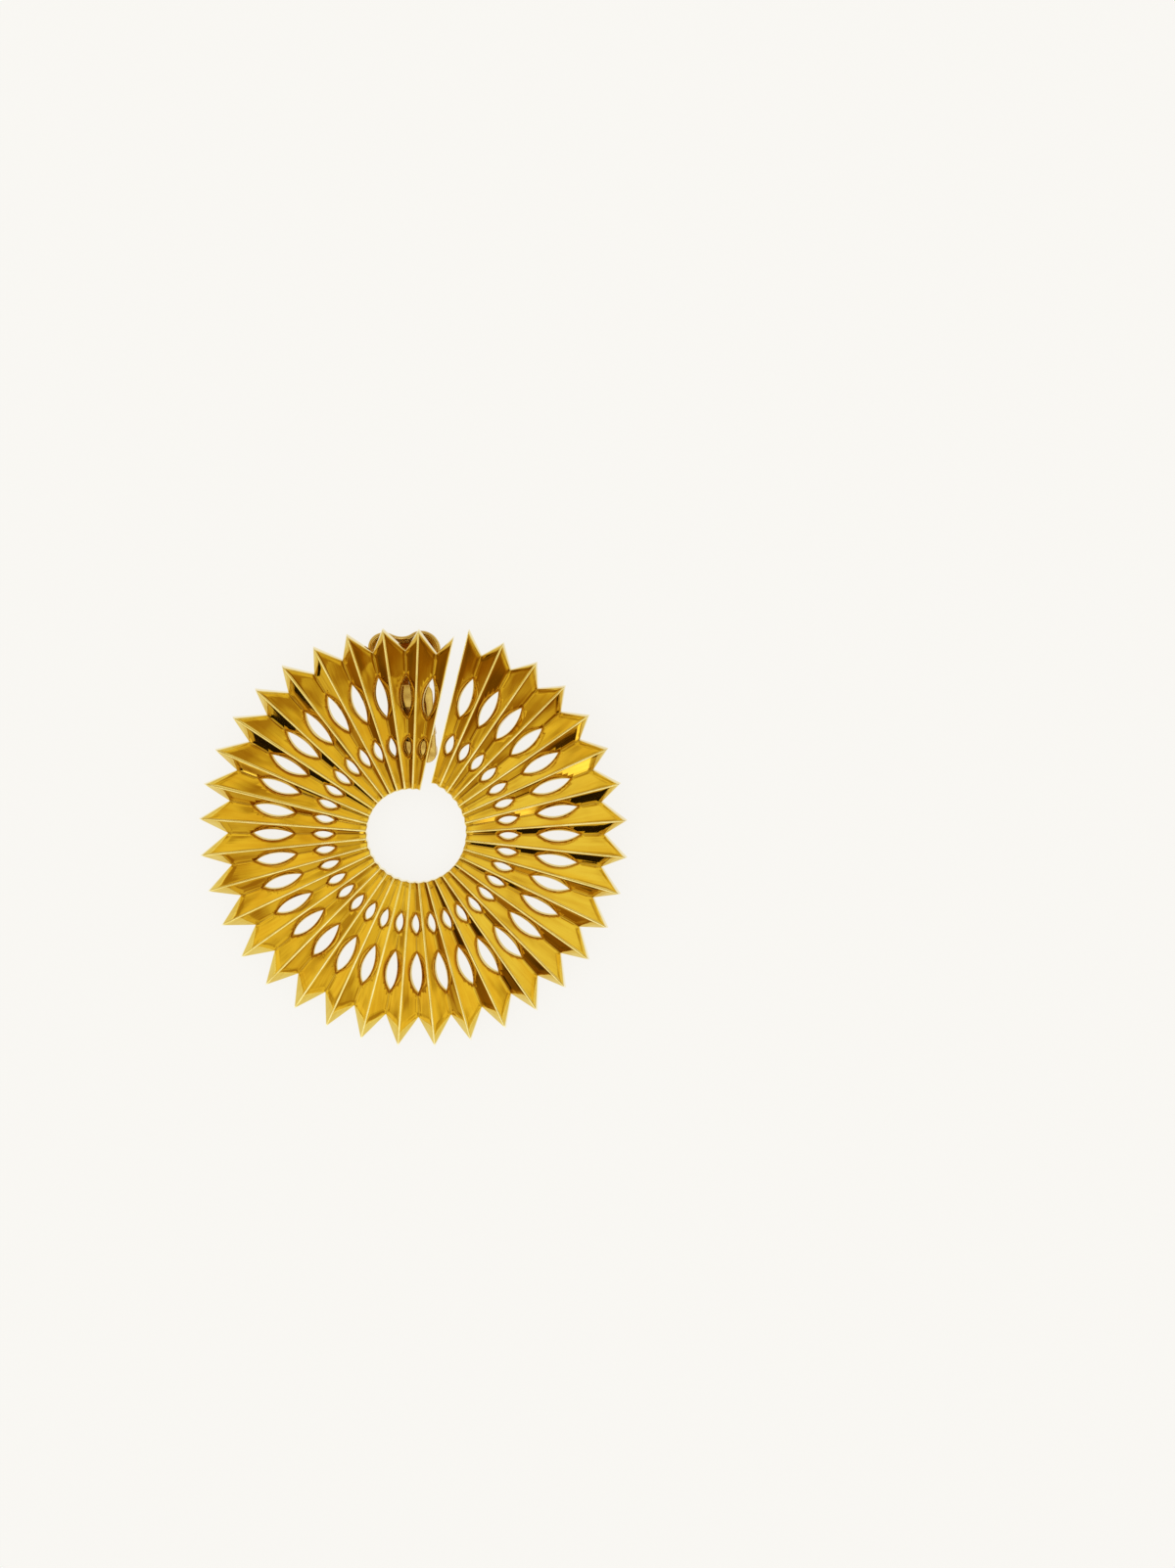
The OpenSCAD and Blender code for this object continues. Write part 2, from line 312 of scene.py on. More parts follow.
def makeTent():  # a bright sheet close over the piece, seen only in its reflections
    cloth = squareSheet("tent", tent["size"])
    cloth.matrix_world = fanPlace @ Matrix.Scale(mm, 4) @ Matrix.Translation((0, 0, tent["height"]))
    cloth.visible_camera = False
    cloth.visible_diffuse = False
    cloth.visible_shadow = False
    material, tree, output = newMaterial("tentCloth")
    where = addNode(tree, "ShaderNodeTexCoord").outputs["Object"]
    at = addNode(tree, "ShaderNodeSeparateXYZ", {0: where})
    x, y = Flow(tree, at.outputs["X"]), Flow(tree, at.outputs["Y"])
    upwards = (y + tent["fallStart"]).join("MAXIMUM", 0).join("MINIMUM", tent["fallLength"])
    light = 1 - upwards * tent["fall"]
    clouds = noiseFlow(tree, where, tent["cloudScale"], tent["cloudDetail"], tent["cloudRoughness"])
    light = light * (1 - ((clouds - tent["cloudStart"]) * tent["cloudEdge"]).within() * tent["cloudDepth"])
    dx, dy = x - flagMiddle[0], y - flagMiddle[1]
    reach = (dx * dx + dy * dy).join("SQRT")
    turn = dy.join("ARCTAN2", dx) * (180 / pi)
    strength, lemon = Flow.number(tree, tent["glow"]), Flow.number(tree, 0)
    for flag in flags.values():
        out = ((reach - flag["reach"]) / flag["halfReach"]).join("ABSOLUTE").join("POWER", tent["flagPower"])
        around = ((turn - flag["turn"]) / flag["halfTurn"]).join("ABSOLUTE").join("POWER", tent["flagPower"])
        edge = (out + around).join("POWER", 1 / tent["flagPower"])
        mask = ((1 + flag["soft"] - edge) / (2 * flag["soft"])).within()
        light = light * (1 - mask * flag.get("dark", 0))
        strength = strength * (1 + mask * flag.get("shine", 0))
        lemon = lemon.join("MAXIMUM", mask * flag.get("lemon", 0))
    ramp = addNode(tree, "ShaderNodeValToRGB", {0: light})
    steps = ramp.color_ramp.elements
    while len(steps) < len(tent["colours"]):
        steps.new(0.5)
    for step, (position, colour) in zip(steps, tent["colours"]):
        step.position = position
        step.color = (*colour, 1)
    colour = mixedColour(tree, (lemon * light).within(), ramp.outputs[0], tent["lemon"])
    glow = addNode(tree, "ShaderNodeEmission", {"Color": colour, "Strength": strength})
    tree.links.new(glow.outputs[0], output.inputs["Surface"])
    cloth.data.materials.append(material)


makeFloor()
makeSky()
makeTent()
bpy.context.scene.view_settings.view_transform = "Standard"
print("floor and light made")


# Gold

fanFinish = {
    "plate": (0.80, 0.60, 0.13),
    "thin": (0.71, 0.475, 0.08),  # where the plating is thinner
    "pale": (1.0, 0.86, 0.42),  # painted highlight along the crests
    "skirt": (1.0, 0.97, 0.8),  # painted highlight on the rounded rim
    "stain": (0.42, 0.17, 0.02),  # painted shade round the holes
    # painted shade in the creases of the valleys
    "crease": (0.34, 0.19, 0.035),
    "patchScale": 160,  # for each metre, as are the other scales
    "patchStart": 0.4,
    "patchGain": 2,
    "streaksAcross": 3.0,  # for each millimetre
    "streaksAlong": 0.14,
    "streakShift": 3.7,  # from one panel to the next, so that no two are alike
    "streakStart": 0.5,
    "streakGain": 1.6,
    "streakDepth": 0.0019 * mm,
    "stainWidth": 0.36,  # millimetres, as are the other widths
    "stainLeast": 0.7,
    "stainPower": 0.8,
    "wearScale": 700,  # the painted crest highlights and the painted crease shade show more at some places than at others
    "wearStart": 0.35,
    "wearGain": 2.4,
    "creaseWidth": 0.13,
    "creaseLeast": 0.25,
    "creaseShare": 0.6,
    "crestWidth": 0.18,
    "crestEdge": 2,
    "crestLeast": 0.3,
    "crestShare": 0.76,
    "skirtDrop": 0.22,  # the share of the rim's drop where the painted highlight's colour is reached
    "skirtShare": 0.97,
    "skirtLeast": 0.45,
    "skirtMiddle": 0.5,
    "skirtTurn": 16,  # how fast the painted highlight on the rim gets paler for each metre towards the lower left
    "skirtSlant": 0.6,
    "waveScale": 420,
    "waveDetail": 1.0,
    "waveDepth": 0.003 * mm,
    "smooth": 0.02,
    "rough": 0.055,
    "roughStart": 0.35,
    "roughGain": 2,
}
clipFinish = {
    "plate": (0.68, 0.46, 0.12),
    "thin": (0.42, 0.23, 0.045),
    "patchScale": 300,
    "patchStart": 0.4,
    "patchGain": 2.2,
    "waveDepth": 0.007 * mm,
    "grainScale": 6000,
    "grainDetail": 2.0,
    "grainDepth": 0.0009 * mm,
    "smooth": 0.09,
    "haze": 0.12,
}


def attributeFlow(tree, name):
    return Flow(tree, addNode(tree, "ShaderNodeAttribute", attribute_name=name).outputs["Fac"])


def bumpNode(tree, height, distance, below=None):
    links = {"Height": height, "Distance": distance, "Strength": 1.0}
    if below:
        links["Normal"] = below.outputs[0]
    return addNode(tree, "ShaderNodeBump", links)


def goldShader(tree, output, colour, roughness, bump):
    metal = addNode(tree, "ShaderNodeBsdfPrincipled", {
        "Base Color": colour, "Metallic": 1.0, "Roughness": roughness, "Normal": bump.outputs[0]})
    tree.links.new(metal.outputs[0], output.inputs["Surface"])


def paintedHoleShade(gap, reach, middle, length, width):  # 1 on the edge of an almond hole, 0 where its painted shade ends
    arcRadius = (length ** 2 + width ** 2) / (4 * width)
    lengthwise = (reach - middle).join("POWER", 2)
    crosswise = (gap + (arcRadius - width / 2)).join("POWER", 2)
    beyond = (lengthwise + crosswise).join("SQRT") - arcRadius
    return (1 - beyond / fanFinish["stainWidth"]).within()


def makeFanGold():
    finish = fanFinish
    material, tree, output = newMaterial("fanGold")
    where = addNode(tree, "ShaderNodeTexCoord").outputs["Object"]
    gap = attributeFlow(tree, "valleyGap") * (1 / mm)
    reach = attributeFlow(tree, "reach") * (1 / mm)
    crestGap = attributeFlow(tree, "crestGap") * (1 / mm)
    panel = attributeFlow(tree, "panel")
    holeShadeMask = paintedHoleShade(gap, reach, longMiddle / mm, fan["longLength"] / mm, fan["longWidth"] / mm).join(
        "MAXIMUM", paintedHoleShade(gap, reach, shortMiddle / mm, fan["shortLength"] / mm, fan["shortWidth"] / mm))
    patches = noiseFlow(tree, where, finish["patchScale"])
    streakPlace = addNode(tree, "ShaderNodeCombineXYZ", {
        "X": gap * finish["streaksAcross"], "Y": reach * finish["streaksAlong"],
        "Z": panel * finish["streakShift"]})
    streaks = noiseFlow(tree, streakPlace.outputs[0], 1.0)
    thin = ((patches - finish["patchStart"]) * finish["patchGain"]
            + (streaks - finish["streakStart"]) * finish["streakGain"]).within()
    colour = mixedColour(tree, thin, finish["plate"], finish["thin"])
    # painted shade round the almond holes
    stain = (holeShadeMask * (finish["stainLeast"] + patches)).join("POWER", finish["stainPower"]).within()
    colour = mixedColour(tree, stain, colour, finish["stain"])
    # noise that makes the painted crest highlight and the painted crease shade uneven
    paintedLightPatches = ((noiseFlow(tree, where, finish["wearScale"]) - finish["wearStart"]) * finish["wearGain"]).within()
    # painted shade along the creases of the valleys
    crease = (1 - gap / finish["creaseWidth"]).within() * paintedLightPatches.towards(1, finish["creaseLeast"])
    colour = mixedColour(tree, crease * finish["creaseShare"], colour, finish["crease"])
    # painted highlight along the rounded crests of the folds
    crest = ((1 - crestGap / finish["crestWidth"]) * finish["crestEdge"]).within()
    crest = crest * paintedLightPatches.towards(1, finish["crestLeast"])
    colour = mixedColour(tree, crest * finish["crestShare"], colour, finish["pale"])
    at = addNode(tree, "ShaderNodeSeparateXYZ", {0: where})
    # painted highlight on the rounded rim, stronger towards the lower left
    slanted = Flow(tree, at.outputs["X"]) * finish["skirtSlant"] + Flow(tree, at.outputs["Y"])
    rimHighlightLowLeft = (finish["skirtMiddle"] - slanted * finish["skirtTurn"]).within()
    skirt = (attributeFlow(tree, "rounding") / (fan["rimDrop"] * finish["skirtDrop"])).within()
    skirt = skirt * rimHighlightLowLeft.towards(1, finish["skirtLeast"])
    colour = mixedColour(tree, skirt * finish["skirtShare"], colour, finish["skirt"])
    haze = (noiseFlow(tree, where, finish["waveScale"]) - finish["roughStart"]).within()
    roughness = finish["smooth"] + haze * (finish["rough"] - finish["smooth"]) * finish["roughGain"]
    waves = noiseFlow(tree, where, finish["waveScale"], finish["waveDetail"])
    bump = bumpNode(tree, waves, finish["waveDepth"])
    bump = bumpNode(tree, streaks, finish["streakDepth"], bump)
    goldShader(tree, output, colour, roughness, bump)
    return material


def makeClipGold():
    finish = clipFinish
    material, tree, output = newMaterial("clipGold")
    where = addNode(tree, "ShaderNodeTexCoord").outputs["Object"]
    patches = noiseFlow(tree, where, finish["patchScale"])
    thin = ((patches - finish["patchStart"]) * finish["patchGain"]).within()
    colour = mixedColour(tree, thin, finish["plate"], finish["thin"])
    grain = noiseFlow(tree, where, finish["grainScale"], finish["grainDetail"])
    bump = bumpNode(tree, patches, finish["waveDepth"])
    bump = bumpNode(tree, grain, finish["grainDepth"], bump)
    goldShader(tree, output, colour, finish["smooth"] + patches * finish["haze"], bump)
    return material


# The pleated fan

fan = {
    "valleys": 36,
    "tipRadius": 32.5 * mm,
    "notchRadius": 28.7 * mm,
    "centreRadius": 7.5 * mm,
    "foldHeight": 3.7 * mm,
    "centreX": 0.2 * mm,  # how far the open centre sits off the axis
    "centreY": -0.1 * mm,
    "sheet": 0.992883 * mm,  # along the axis, so 0.6 mm square to a panel
    "splitRim": 1.9 * mm,
    "splitCentre": 1.35 * mm,
    "splitLean": radians(14.2),
    "winding": 1.6 * mm,  # how much further out the sheet's second end lies than its first
    "endSag": 0.5 * mm,  # how far the rim dips beside the split
    "sagLines": 6,
    "creep": radians(1.1),  # how far the folds have crept round, halfway along the sheet
    "bunching": radians(0.5),
    "unevenness": radians(0.3),  # how much single lines are off their even spacing
    "crestHalf": 0.19 * mm,  # half the width of the rounded crest of a fold
    "creaseHalf": 0.05 * mm,
    "crown": 0.02 * mm,  # how far the panels bow and ripple
    "bowShare": 0.5,
    "shortRipple": 7,  # radians along a panel, and from one panel to the next
    "shortRippleShift": 1.9,
    "shortRippleShare": 0.7,
    "longRipple": 3.1,
    "longRippleShift": 2.3,
    "rimRound": 0.42 * mm,  # width and depth of the rounded edges at the rim and the open centre
    "rimDrop": 0.32 * mm,
    "rimLeast": 0.55,  # the shares of both that the valleys keep, as the rim is rounder at the tips
    "dropLeast": 0.7,
    "dropGain": 0.6,
    "holeRound": 0.1 * mm,
    "longMargin": 3.9 * mm,
    "longLength": 6.1 * mm,
    "longWidth": 1.6 * mm,
    "shortBridge": 3.2 * mm,
    "shortLength": 2.9 * mm,
    "shortWidth": 1.0 * mm,
    "crestSteps": 4,  # rows of faces across a crest, a panel and a crease
    "panelSteps": 8,
    "creaseSteps": 2,
    "centreSteps": 3,  # and outwards, in the rounded centre edge, the middle and the rounded rim
    "middleSteps": 20,
    "rimSteps": 5,
    "punchPoints": 28,
    "punchLevels": 5,
    "sheetWeld": 0.001 * mm,  # points nearer than this become one
    "piercedWeld": 0.002 * mm,
    "sharpFrom": radians(28),
}
longMiddle = fan["notchRadius"] - fan["longMargin"] - fan["longLength"] / 2  # from the axis to the holes
shortMiddle = longMiddle - fan["longLength"] / 2 - fan["shortBridge"] - fan["shortLength"] / 2


fanGold = makeFanGold()
clipGold = makeClipGold()


def fanSizes():
    sizes = {key: fan[key] for key in (
        "tipRadius", "notchRadius", "centreRadius", "centreX", "centreY", "foldHeight", "sheet", "winding",
        "endSag", "sagLines", "creep", "bunching", "unevenness", "crestHalf", "creaseHalf", "crown",
        "rimDrop", "longLength", "longWidth", "shortLength", "shortWidth", "holeRound")}
    sizes["lines"] = 2 * fan["valleys"]
    for end, split, radius in (("rim", fan["splitRim"], fan["tipRadius"]),
                               ("centre", fan["splitCentre"], fan["centreRadius"])):
        sizes[end + "Start"] = pi / 2 - fan["splitLean"] + asin(split / 2 / radius)
        sizes[end + "Sweep"] = 2 * pi - 2 * asin(split / 2 / radius)
    sizes["rimShare"] = fan["rimRound"] / (fan["tipRadius"] - fan["centreRadius"])
    sizes["longRadius"], sizes["shortRadius"] = longMiddle, shortMiddle
    return sizes


def onLine(tree, size, line, rimRadius, along):  # a point of a fold or a valley, and its way from the axis
    share = line / size["lines"]
    wound = size["winding"] * (share - 0.5)
    noise = addNode(tree, "ShaderNodeTexWhiteNoise", {"W": line + 0.5}, noise_dimensions="1D")
    chance = Flow(tree, noise.outputs[0])
    crept = (size["creep"] * (share * pi).join("SINE")
             - size["bunching"] * (share * (2 * pi)).join("SINE") + size["unevenness"] * (chance - 0.5))
    centreTurn = size["centreStart"] + size["centreSweep"] * share + crept
    rimTurn = size["rimStart"] + size["rimSweep"] * share + crept
    toEnd = line.join("MINIMUM", size["lines"] - line)
    sag = size["endSag"] * (1 - toEnd / size["sagLines"]).within()
    centreRadius = size["centreRadius"] + wound
    outerRadius = rimRadius + wound - sag
    x = (centreRadius * centreTurn.join("COSINE")).towards(outerRadius * rimTurn.join("COSINE"), along)
    y = (centreRadius * centreTurn.join("SINE")).towards(outerRadius * rimTurn.join("SINE"), along)
    inwards = 1 - along
    return (x + size["centreX"] * inwards, y + size["centreY"] * inwards,
            centreRadius.towards(outerRadius, along))


def positionParts(tree):
    position = addNode(tree, "GeometryNodeInputPosition").outputs[0]
    parts = addNode(tree, "ShaderNodeSeparateXYZ", {0: position})
    return tuple(Flow(tree, parts.outputs[axis]) for axis in "XYZ")


def marked(tree, geometry, name, value, domain):
    return addNode(tree, "GeometryNodeStoreNamedAttribute", {
        "Geometry": geometry, "Name": name, "Value": value}, data_type="FLOAT", domain=domain).outputs[0]


def foldedSheet(tree, size):  # the back of the sheet, from a flat grid whose x runs outwards and y runs round
    lines = size["lines"]
    crestSteps, panelSteps, creaseSteps = fan["crestSteps"], fan["panelSteps"], fan["creaseSteps"]
    centreSteps, middleSteps, rimSteps = fan["centreSteps"], fan["middleSteps"], fan["rimSteps"]
    stepsAcross = crestSteps + panelSteps + creaseSteps
    stepsAlong = centreSteps + middleSteps + rimSteps
    grid = addNode(tree, "GeometryNodeMeshGrid", {
        "Size X": 1.0, "Size Y": 1.0, "Vertices X": stepsAlong + 1, "Vertices Y": lines * stepsAcross + 1})
    gridX, gridY, _ = positionParts(tree)
    row = (gridX + 0.5) * stepsAlong
    inCentre = (1 - row / centreSteps).within()
    inMiddle = ((row - centreSteps) / middleSteps).within()
    inRim = ((row - (centreSteps + middleSteps)) / rimSteps).within()
    column = ((gridY + 0.5) * lines * stepsAcross).join("ROUND")
    panel = (column / stepsAcross).join("FLOOR").join("MINIMUM", lines - 1)
    step = column - panel * stepsAcross
    odd = panel.join("MODULO", 2)
    fromCrest = step.towards(stepsAcross - step, odd)

    # outwards, where the rows crowd towards the two rounded edges
    centreShare = size["rimShare"] / 2
    nearFold = 1 - fromCrest / stepsAcross
    rimShare = size["rimShare"] * (fan["rimLeast"] + nearFold * nearFold)
    along = (centreShare * (1 - (inCentre * (pi / 2)).join("SINE")) + (1 - rimShare - centreShare) * inMiddle
             + rimShare * (inRim * (pi / 2)).join("SINE"))
    drop = size["rimDrop"] * (fan["dropLeast"] + nearFold * fan["dropGain"])
    rounding = (drop * (1 - (inRim * (pi / 2)).join("COSINE"))
                + size["rimDrop"] / 2 * (1 - (inCentre * (pi / 2)).join("COSINE")))
    foldX, foldY, foldRadius = onLine(tree, size, panel + odd, size["tipRadius"], along)
    valleyX, valleyY, _ = onLine(tree, size, panel + 1 - odd, size["notchRadius"], along)

    # from the rounded crest of the fold over the panel to the crease of the valley
    panelWidth = foldRadius * (size["rimSweep"] / lines)
    crest = size["crestHalf"] / panelWidth
    crease = size["creaseHalf"] / panelWidth
    onCrest = (fromCrest / crestSteps).within()
    onPanel = ((fromCrest - crestSteps) / panelSteps).within()
    onCrease = ((fromCrest - (crestSteps + panelSteps)) / creaseSteps).within()
    across = crest * onCrest + (1 - crest - crease) * onPanel + crease * onCrease
    roundCrest = crest / 2 * (1 - onCrest) * (1 - onCrest)
    roundCrease = crease / 2 * onCrease * onCrease
    height = 1 - across - roundCrest + roundCrease
    foldHeight = size["foldHeight"] * foldRadius / size["tipRadius"]
    shortRipple = (along * fan["shortRipple"] + panel * fan["shortRippleShift"]).join("SINE")
    longRipple = (along * fan["longRipple"] + panel * fan["longRippleShift"]).join("SINE")
    ripple = shortRipple * fan["shortRippleShare"] + longRipple + fan["bowShare"]
    ripple = ripple * (onPanel * pi).join("SINE")
    z = height * foldHeight + size["crown"] * ripple * foldRadius / size["tipRadius"]
    x = foldX.towards(valleyX, across)
    y = foldY.towards(valleyY, across)
    back = addNode(tree, "ShaderNodeCombineXYZ", {"X": x, "Y": y, "Z": z - size["sheet"]})

    # what the gold goes by
    reach = size["centreRadius"] + along * (size["notchRadius"] - size["centreRadius"]
                                            + (size["tipRadius"] - size["notchRadius"]) * (1 - across))
    flat = marked(tree, grid.outputs["Mesh"], "rounding", rounding, "POINT")
    for name, value in (("reach", reach), ("panel", panel), ("crestGap", across * panelWidth),
                        ("valleyGap", (1 - across) * panelWidth)):
        flat = marked(tree, flat, name, value, "CORNER")
    return addNode(tree, "GeometryNodeSetPosition", {
        "Geometry": flat, "Position": back.outputs[0]}).outputs[0]


def thickened(tree, surface, height, lowered):  # the front sinks by the attribute that is named as lowered
    up = addNode(tree, "ShaderNodeCombineXYZ", {"Z": height})
    raised = addNode(tree, "GeometryNodeExtrudeMesh", {
        "Mesh": surface, "Offset": up.outputs[0], "Individual": False, "Offset Scale": 1.0}, mode="FACES")
    drop = Flow(tree, addNode(tree, "GeometryNodeInputNamedAttribute", {"Name": lowered}).outputs[0])
    down = addNode(tree, "ShaderNodeCombineXYZ", {"Z": -drop})
    top = addNode(tree, "GeometryNodeSetPosition", {
        "Geometry": raised.outputs["Mesh"], "Selection": raised.outputs["Top"], "Offset": down.outputs[0]})
    under = addNode(tree, "GeometryNodeFlipFaces", {"Mesh": surface})
    both = addNode(tree, "GeometryNodeJoinGeometry")
    tree.links.new(under.outputs[0], both.inputs[0])
    tree.links.new(top.outputs[0], both.inputs[0])
    return addNode(tree, "GeometryNodeMergeByDistance", {
        "Geometry": both.outputs[0], "Distance": fan["sheetWeld"]}).outputs[0]


def almondPunch(tree, size, length, width):  # it flares at both faces, so its hole has rounded edges
    tube = addNode(tree, "GeometryNodeMeshCylinder", {
        "Vertices": fan["punchPoints"], "Side Segments": fan["punchLevels"], "Radius": 1.0, "Depth": 2.0},
        fill_type="NGON")
    tubeX, tubeY, tubeZ = positionParts(tree)
    halfway = fan["punchLevels"] / 2
    level = ((tubeZ + 1) * halfway).join("ROUND")  # counted from the back
    flared = (level - halfway).join("ABSOLUTE").join("GREATER_THAN", 1)
    outside = (level - halfway).join("ABSOLUTE").join("GREATER_THAN", 2)
    side = (level - halfway).join("SIGN")
    arcRadius = (length * length + width * width) / (width * 4)
    middle = arcRadius - width / 2
    edgeRadius = arcRadius + flared * size["holeRound"] * 2
    half = (edgeRadius * edgeRadius - middle * middle).join("SQRT")
    lengthwise = tubeX * half
    bow = (edgeRadius * edgeRadius - lengthwise * lengthwise).join("SQRT") - middle
    offPoints = tubeY.join("ABSOLUTE").join("GREATER_THAN", 0.001)  # 0 at the almond's two points
    across = bow * tubeY.join("SIGN") * offPoints
    slope = size["foldHeight"] * size["lines"] / (size["tipRadius"] * size["rimSweep"])
    fromFace = size["holeRound"] * (flared * 2 - 1) + size["foldHeight"] * 2 * outside
    behind = size["sheet"] * level.join("LESS_THAN", halfway)
    up = across.join("ABSOLUTE") * slope + side * fromFace - behind
    onPunch = addNode(tree, "ShaderNodeCombineXYZ", {"X": lengthwise, "Y": across, "Z": up})
    return addNode(tree, "GeometryNodeSetPosition", {
        "Geometry": tube.outputs["Mesh"], "Position": onPunch.outputs[0]}).outputs[0]


def punchRing(tree, size, radius, punch):  # one punch on every valley, turned along it
    seats = addNode(tree, "GeometryNodeMeshLine", {"Count": size["lines"] / 2})
    line = Flow(tree, addNode(tree, "GeometryNodeInputIndex").outputs[0]) * 2 + 1
    share = (radius - size["centreRadius"]) / (size["notchRadius"] - size["centreRadius"])
    seatX, seatY, _ = onLine(tree, size, line, size["notchRadius"], share)
    innerX, innerY, _ = onLine(tree, size, line, size["notchRadius"], share - 0.1)
    turn = (seatY - innerY).join("ARCTAN2", seatX - innerX)
    seat = addNode(tree, "ShaderNodeCombineXYZ", {"X": seatX, "Y": seatY})
    seated = addNode(tree, "GeometryNodeSetPosition", {
        "Geometry": seats.outputs[0], "Position": seat.outputs[0]})
    rotation = addNode(tree, "ShaderNodeCombineXYZ", {"Z": turn})
    return addNode(tree, "GeometryNodeInstanceOnPoints", {
        "Points": seated.outputs[0], "Instance": punch, "Rotation": rotation.outputs[0]}).outputs[0]


def fanTree(sizes):
    tree, size, sink = newTree("pleatedFan", sizes)
    sheet = thickened(tree, foldedSheet(tree, size), size["sheet"], "rounding")
    punches = addNode(tree, "GeometryNodeJoinGeometry")
    for kind in ("long", "short"):
        punch = almondPunch(tree, size, size[kind + "Length"], size[kind + "Width"])
        tree.links.new(punchRing(tree, size, size[kind + "Radius"], punch), punches.inputs[0])
    loose = addNode(tree, "GeometryNodeRealizeInstances", {"Geometry": punches.outputs[0]})
    pierced = addNode(tree, "GeometryNodeMeshBoolean", {"Mesh 1": sheet, "Mesh 2": loose.outputs[0]},
                      operation="DIFFERENCE", solver="MANIFOLD")
    clean = addNode(tree, "GeometryNodeMergeByDistance", {
        "Geometry": pierced.outputs[0], "Distance": fan["piercedWeld"]})
    real = addNode(tree, "GeometryNodeRealizeInstances", {"Geometry": clean.outputs[0]})
    finished = addNode(tree, "GeometryNodeSetMaterial", {"Geometry": real.outputs[0], "Material": fanGold})
    tree.links.new(finished.outputs[0], sink.inputs[0])
    return tree


def showPiece(name, mesh, body, node):
    piece = bpy.data.objects.new(name, mesh)
    bpy.context.scene.collection.objects.link(piece)
    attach(piece, body)
    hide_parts(node)


def smoothUnder(mesh, angle):
    mesh.polygons.foreach_set("use_smooth", [True] * len(mesh.polygons))
    mesh.set_sharp_from_angle(angle=angle)


def makeFan():
    sizes = fanSizes()
    mesh = grownMesh("pleatedSheet", fanTree(sizes), sizes)
    mesh.transform(fanPlace)
    smoothUnder(mesh, fan["sharpFrom"])
    print("fan:", len(mesh.vertices), "points", len(mesh.polygons), "faces")
    showPiece("pleatedSheet", mesh, "fan", "pleated_fan")


makeFan()


# The ear clip: a base plate with two ears, the pin, and the paddle, all from the middle of the pin

clip = {  # millimetres: x runs along the pin, y up the fan, z to its front
    "plateWidth": 6.1,
    "plateAbove": 10.4,
    "plateBelow": 1.6,
    "plateBack": 1.12,  # from the middle of the pin
    "plateThick": 0.55,
    "plateCorner": 1.5,
    "windowWidth": 3.0,
    "windowLow": 1.8,
    "windowHigh": 7.0,
    "windowCorner": 0.3,
    "earOutside": 2.65,
    "earThick": 0.8,
    "earRadius": 1.1,
    "earBore": 0.52,
    "earFoot": 0.3,  # how far the ears reach into the plate
    "edge": 0.1,  # rounding of the cut edges
    "sink": 0.06,  # how far soldered metal sinks into its neighbour
    "weld": 0.002,  # points nearer than this become one
    "sharpFrom": radians(34),
    "roundSteps": 3,
    "turnSteps": 48,
    "plateSteps": 6,
    "windowSteps": 3,
    "earSteps": 20,
}
pin = {
    "radius": 0.5,
    "headInside": 2.67,
    "headThick": 0.3,
    "headRadius": 0.8,
    "headSteps": 5,
    "brimShare": 0.3,  # of the head's thickness, under its dome
    "topShare": 0.25,  # of the head's radius, on top of its dome
}
paddle = {
    "barrelHalf": 1.75,  # half its length
    "barrelRadius": 1.0,
    "barrelBore": 0.55,
    "shoulder": 1.35,  # where the barrel's width begins to open to the stem's
    "stemHalf": 2.95,
    "stemLength": 9.2,  # where the stem spreads into the lobes
    "lobeRadius": 2.65,
    "lobeX": 2.85,
    "lobeY": 15.5,
    "dip": 0.75,  # of the edge between the lobes
    "bend": 1.25,  # how far the lobes lie off the stem's middle line
    "thick": 1.1,
    "web": 0.5,  # the thinner metal within the raised rim
    "rim": 0.8,
    "rimRound": 0.32,
    "webFillet": 0.25,
    "backRound": 0.3,
    "lobeTrim": radians(8),  # left out at both ends of a lobe's arc, where a blend takes over
    "spreadSteps": 10,
    "lobeSteps": 28,
    "dipSteps": 8,
}


def arcPoints(middle, radius, start, end, steps):
    turns = [start + (end - start) * n / steps for n in range(steps + 1)]
    return [(middle[0] + radius * cos(turn), middle[1] + radius * sin(turn)) for turn in turns]


def roundedBox(left, right, low, high, corner, steps):
    return (arcPoints((right - corner, low + corner), corner, -pi / 2, 0, steps)
            + arcPoints((right - corner, high - corner), corner, 0, pi / 2, steps)
            + arcPoints((left + corner, high - corner), corner, pi / 2, pi, steps)
            + arcPoints((left + corner, low + corner), corner, pi, 3 * pi / 2, steps))


def drawnIn(outline, inset):  # every point of a counterclockwise outline moves square to its two sides
    drawn = []
    for n, point in enumerate(outline):
        here = Vector(point)
        before = (here - Vector(outline[n - 1])).normalized()
        after = (Vector(outline[(n + 1) % len(outline)]) - here).normalized()
        inwards = Vector((-before.y - after.y, before.x + after.x)) / (1 + before.dot(after))
        drawn.append(here + inwards * inset)
    return drawn


def roundedWall(low, high, lowRound, highRound):  # pairs of inset and height; a negative round opens outwards
    turns = [pi / 2 * n / clip["roundSteps"] for n in range(clip["roundSteps"] + 1)]
    return ([(lowRound * (1 - sin(turn)), low + abs(lowRound) * (1 - cos(turn))) for turn in turns]
            + [(highRound * (1 - cos(turn)), high - abs(highRound) * (1 - sin(turn))) for turn in turns])


def addWall(bm, outline, wall):
    rings = [[bm.verts.new((point.x, point.y, height)) for point in drawnIn(outline, inset)]
             for inset, height in wall]
    for low, high in zip(rings, rings[1:]):
        for n in range(len(low)):
            bm.faces.new((low[n - 1], low[n], high[n], high[n - 1]))
    return rings[0], rings[-1]


